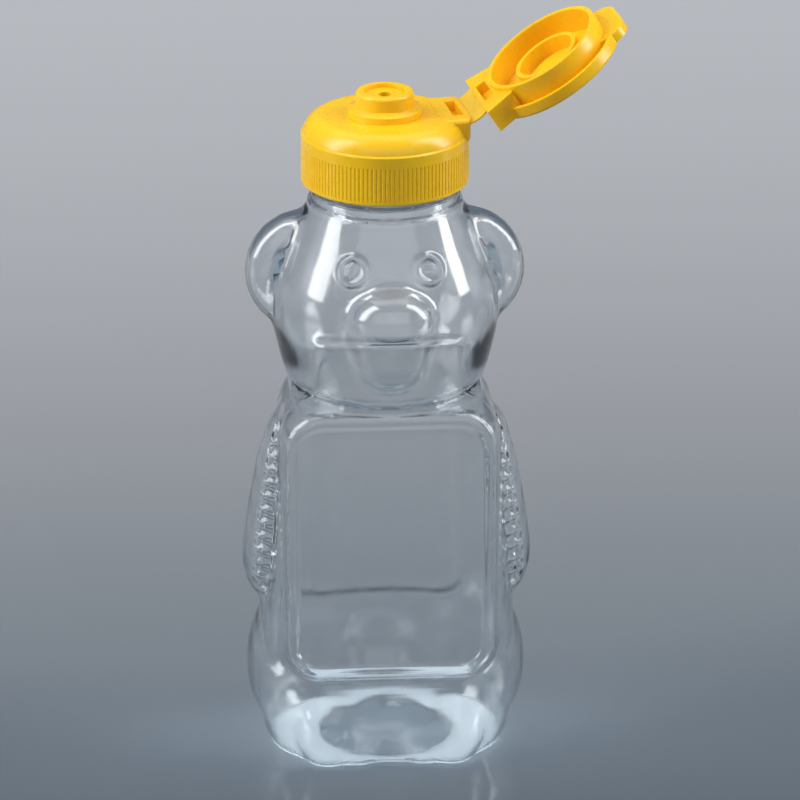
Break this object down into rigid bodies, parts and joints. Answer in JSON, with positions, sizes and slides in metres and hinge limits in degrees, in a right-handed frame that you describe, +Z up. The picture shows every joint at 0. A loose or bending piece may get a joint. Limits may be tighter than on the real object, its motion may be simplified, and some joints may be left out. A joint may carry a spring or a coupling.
{
  "type": "honey bear bottle",
  "caption": "Clear squeeze bottle in the shape of a sitting bear, with a ribbed screw cap, raised spout and open flip lid.",
  "frame": {"origin": "middle of the flat base, on the floor", "axes": "+Z up along the neck, the bear faces -Y, +X to the bear's left, towards the lid's hinge"},
  "size_m": [0.0962, 0.0654, 0.1889],
  "materials": {
    "clear_bottle": "clear gloss",
    "seal_foam": "matt",
    "cap_plastic": "semi-gloss",
    "hinge_film": "semi-gloss"
  },
  "bodies": {
    "bottle": {"bottle": "clear_bottle"},
    "seal": {"seal_ring": "seal_foam"},
    "cap": {"cap_base": "cap_plastic", "hinge_strap": "hinge_film"},
    "lid": {"lid": "cap_plastic"}
  },
  "joints": [
    {"name": "cap_lift", "type": "slide", "parent": "bottle", "child": "seal", "axis": [0, 0, 1], "range_m": [0, 0.0053]},
    {"name": "cap_turn", "type": "hinge", "parent": "seal", "child": "cap", "pos_m": [0, 0, 0.161], "axis": [0, 0, 1], "range_deg": [0, 450]},
    {"name": "lid_hinge", "type": "hinge", "parent": "cap", "child": "lid", "pos_m": [0.02136, 0.00319, 0.1675], "axis": [-0.1478, 0.989, 0], "range_deg": [-146.5, 25], "deforming": ["hinge_strap"]}
  ],
  "couplings": [
    {"joint": "cap_lift", "follows": "cap_turn", "m_per_rad": 0.0006737}
  ]
}
